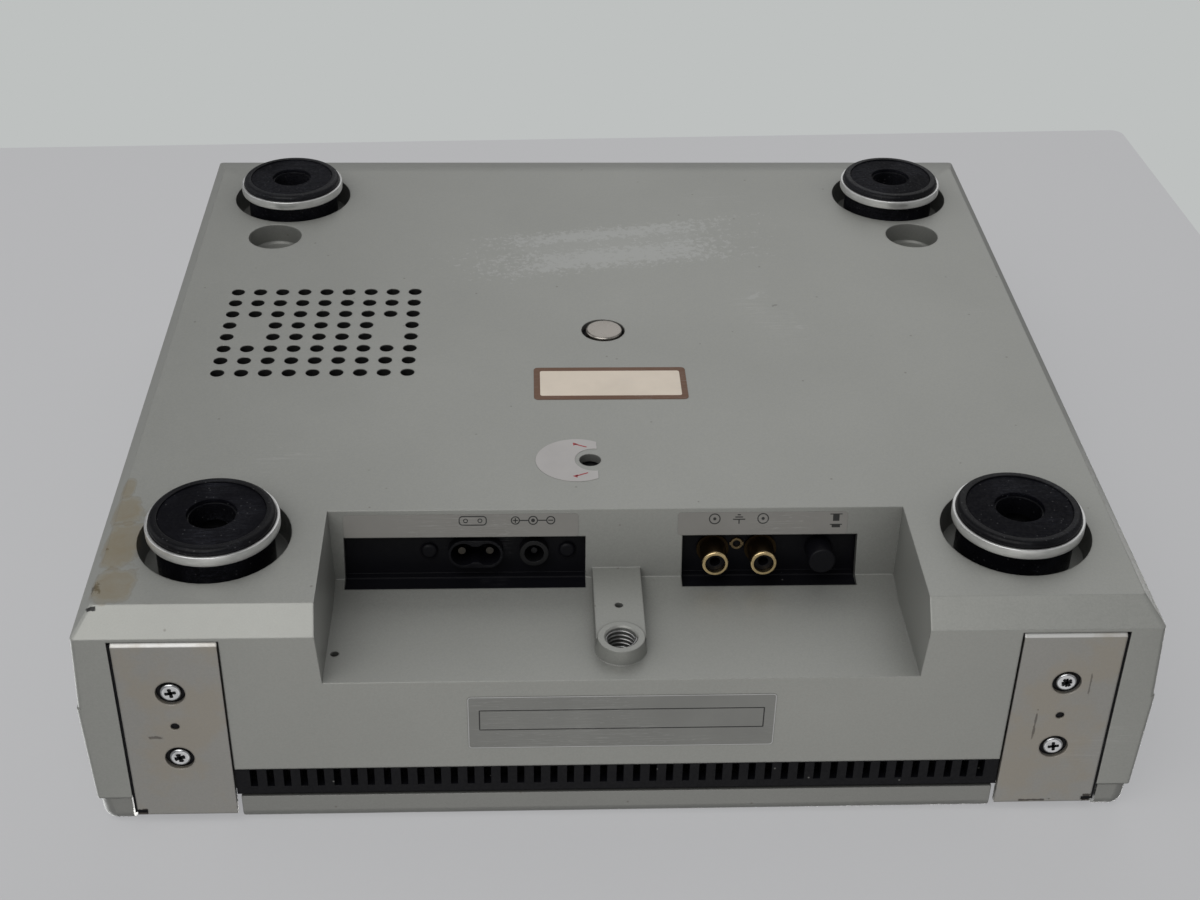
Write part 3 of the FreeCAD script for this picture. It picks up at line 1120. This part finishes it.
def make_gimbal_and_arm():
    pivot_y = ARM_PIVOT_Y
    z_top = CARRIAGE_Z[0] - GIMBAL_GAP
    bridge = box(ARM_X - GIMBAL_CHEEK_X - GIMBAL_CHEEK_T, ARM_X + GIMBAL_CHEEK_X + GIMBAL_CHEEK_T,
                 pivot_y - GIMBAL_HALF_Y, pivot_y + GIMBAL_HALF_Y, z_top - GIMBAL_BRIDGE_T,
                 z_top)
    pin = rod_z(ARM_X, pivot_y, z_top - 0.5, z_top + GIMBAL_PIN_L, GIMBAL_PIN_R)
    cheeks = []
    for s in (-1, 1):
        x = ARM_X + s * (GIMBAL_CHEEK_X + GIMBAL_CHEEK_T / 2)
        half = GIMBAL_CHEEK_T / 2
        cheeks.append(box(x - half, x + half, pivot_y - GIMBAL_HALF_Y, pivot_y + GIMBAL_HALF_Y,
                          ARM_Z - GIMBAL_CHEEK_LOW, z_top))
    cross = rod_x(ARM_X - GIMBAL_CHEEK_X - GIMBAL_CHEEK_T, ARM_X + GIMBAL_CHEEK_X + GIMBAL_CHEEK_T,
                  pivot_y, ARM_Z, CROSS_PIN_R)
    add("arm_gimbal", fuse([bridge, pin] + cheeks + [cross]))
    head_back = SPINDLE_Y + HEAD_L - HEAD_AHEAD
    shell_front = head_back - SHELL_L
    tube = rod_y(ARM_X, head_back - 1, WEIGHT_Y[1] + ARM_TAIL, ARM_Z, ARM_R)
    hub_half = GIMBAL_CHEEK_X - ARM_HUB_GAP
    hub = rod_x(ARM_X - hub_half, ARM_X + hub_half, pivot_y, ARM_Z, ARM_HUB_R)
    cross_bore = rod_x(ARM_X - 2 * hub_half, ARM_X + 2 * hub_half, pivot_y, ARM_Z,
                       CROSS_PIN_R + RUNNING_GAP)
    shell = box(ARM_X - HEAD_W / 2, ARM_X + HEAD_W / 2, shell_front, head_back,
                ARM_Z - SHELL_HALF_H, ARM_Z + SHELL_HALF_H)
    corners = [e for e in shell.Edges if e.BoundBox.YLength > SHELL_L / 2]
    shell = shell.makeFillet(SHELL_FILLET, corners)
    add("tonearm", fuse([tube, hub, shell]).cut(cross_bore))
    add("counterweight", rod_y(ARM_X, WEIGHT_Y[0], WEIGHT_Y[1], ARM_Z, WEIGHT_R).cut(
        rod_y(ARM_X, WEIGHT_Y[0] - 1, WEIGHT_Y[1] + 1, ARM_Z, ARM_R)))
    y1 = shell_front
    y0 = head_back - HEAD_L
    top, nose, belly = CARTRIDGE_H
    cartridge_half = HEAD_W / 2 - CARTRIDGE_GAP
    body = prism_x([(y0, ARM_Z + top), (y0, ARM_Z - nose), (y0 + CARTRIDGE_NOSE, ARM_Z - belly),
                    (y1, ARM_Z - belly), (y1, ARM_Z + top)], ARM_X - cartridge_half,
                   ARM_X + cartridge_half)
    root_z = ARM_Z - STYLUS_ROOT
    tip = Part.makeCone(STYLUS_R[0], STYLUS_R[1], root_z - STYLUS_TIP_Z,
                        V(ARM_X, SPINDLE_Y, root_z), V(0, 0, -1))
    holder = box(ARM_X - HOLDER_HALF_W, ARM_X + HOLDER_HALF_W, SPINDLE_Y - HOLDER_HALF_W, y1 - 1,
                 ARM_Z - HOLDER_Z[0], ARM_Z - HOLDER_Z[1])
    add("cartridge", fuse([body, holder, tip]))


def idler_bracket():
    x = PULLEY_X[1]
    z0 = PULLEY_Z
    front, side, far = [x + reach for reach in IDLER_FOOT_X]
    back = PULLEY_Y + IDLER_LEG_Y
    foot = box(front, far, PULLEY_Y - 4, back, z0 - 1.8, z0 - 0.4)
    leg = box(side, far, back - IDLER_PLATE_T, back, z0 - 1.8, LID_TOP_IN)
    shaft = rod_z(x, PULLEY_Y, z0 - 1, z0 + PULLEY_H, PULLEY_SHAFT_R)
    return fuse([foot, leg, shaft])


def make_cord_drive():
    z0, z1 = PULLEY_Z, PULLEY_Z + PULLEY_H
    for name, x in zip(("drive_drum", "idler_pulley"), PULLEY_X):
        wheel = rod_z(x, PULLEY_Y, z0, z1, PULLEY_R)
        groove = Part.makeTorus(PULLEY_R, CORD_R + 0.05, V(x, PULLEY_Y, (z0 + z1) / 2), V(0, 0, 1))
        bore = rod_z(x, PULLEY_Y, z0 - 1, z1 + 1, PULLEY_SHAFT_R + RUNNING_GAP)
        add(name, wheel.cut([groove, bore]))
    drum_x, idler_x = PULLEY_X
    motor_z = z1 + FREE_GAP
    motor = rod_z(drum_x, PULLEY_Y, motor_z, LID_TOP_IN, DRIVE_MOTOR_R)
    shaft = rod_z(drum_x, PULLEY_Y, z0 - 1, motor_z + 1, PULLEY_SHAFT_R)
    add("carriage_motor", motor.fuse(shaft))
    z = (z0 + z1) / 2
    front = V(drum_x, PULLEY_Y - PULLEY_R, z)
    front_far = V(idler_x, PULLEY_Y - PULLEY_R, z)
    back_far = V(idler_x, PULLEY_Y + PULLEY_R, z)
    back = V(drum_x, PULLEY_Y + PULLEY_R, z)
    path = Part.Wire([
        Part.LineSegment(front, front_far).toShape(),
        Part.Arc(front_far, V(idler_x + PULLEY_R, PULLEY_Y, z), back_far).toShape(),
        Part.LineSegment(back_far, back).toShape(),
        Part.Arc(back, V(drum_x - PULLEY_R, PULLEY_Y, z), front).toShape()])
    section = Part.Wire([Part.makeCircle(CORD_R, front, V(1, 0, 0))])
    add("drive_cord", path.makePipeShell([section], True, False))


# Clamp and keys

def make_clamp():
    z0 = CLAMP_Z
    hub_top = COVER_Z - 0.5
    disc = rod_z(0, SPINDLE_Y, z0, z0 + CLAMP_T, CLAMP_R)
    rim = [e for e in disc.Edges if e.BoundBox.ZMin > z0 + CLAMP_T - 0.01]
    disc = disc.makeFillet(1.4, rim)
    hub = cone_z(0, SPINDLE_Y, z0 + CLAMP_T - 0.5, hub_top, CLAMP_HUB_R + 4, CLAMP_HUB_R)
    shaft_top = COVER_Z + COVER_T + 1.6 + 2.4
    shaft = rod_z(0, SPINDLE_Y, hub_top - 1, shaft_top, CLAMP_SHAFT_R)
    collar = rod_z(0, SPINDLE_Y, shaft_top - 2.0, shaft_top, CLAMP_COLLAR_R)
    bore = rod_z(0, SPINDLE_Y, z0 - 1, SPINDLE_TOP_Z + CLAMP_BORE_ROOM, CLAMP_BORE_R)
    add("disc_clamp", fuse([disc, hub, shaft, collar]).cut(bore))


def key_places():
    return [(name, KEY_X0 + i * KEY_PITCH) for i, name in enumerate(KEY_NAMES)]


def make_keys():
    top = HEIGHT - KEY_SINK
    for name, x in key_places():
        cap = box(x - KEY_W / 2, x + KEY_W / 2, KEY_Y - KEY_D / 2, KEY_Y + KEY_D / 2,
                  top - KEY_T, top)
        edges = [e for e in cap.Edges if e.BoundBox.ZMin > top - 0.01]
        cap = cap.makeFillet(0.6, edges)
        flange_top = LID_TOP_IN - 0.2
        grow = KEY_FLANGE
        flange = box(x - KEY_W / 2 - grow, x + KEY_W / 2 + grow, KEY_Y - KEY_D / 2 - grow,
                     KEY_Y + KEY_D / 2 + grow, flange_top - 1.2, flange_top)
        stem = rod_z(x, KEY_Y, KEY_BOARD_Z + BOARD_T + KEY_TRAVEL + 0.3, flange_top, 1.6)
        add(name + "_key", fuse([cap, flange, stem]))
    names = key_places()
    board = box(names[0][1] - 14, names[-1][1] + 14, KEY_Y - 8, KEY_Y + 8, KEY_BOARD_Z,
                KEY_BOARD_Z + BOARD_T)
    posts = [rod_z(x + KEY_PITCH / 2, KEY_Y, KEY_BOARD_Z + BOARD_T - 0.1, LID_TOP_IN, 1.5)
             for _, x in names[:-1:2]]
    add("key_board", fuse([board] + posts))


def main():
    os.makedirs("parts", exist_ok=True)
    make_base_casting()
    make_hinge_covers()
    make_rear_grille()
    make_power_sockets()
    make_signal_sockets()
    make_feet()
    make_motor()
    make_rotor_and_platter()
    make_transformer()
    make_boards()
    make_deck()
    make_selector_knob()
    make_latch()
    make_hinges()
    make_lid_shell()
    make_lid_covers()
    make_rails()
    make_carriage()
    make_gimbal_and_arm()
    make_cord_drive()
    make_clamp()
    make_keys()
    for name, shape in NODES.items():
        solids = shape.Solids
        print(name, "solids", len(solids), "valid", shape.isValid(), "volume", round(shape.Volume))
        if len(solids) == 1:
            shape = solids[0]
        shape.exportStep("parts/" + name + ".step")
    print("nodes", len(NODES))


main()
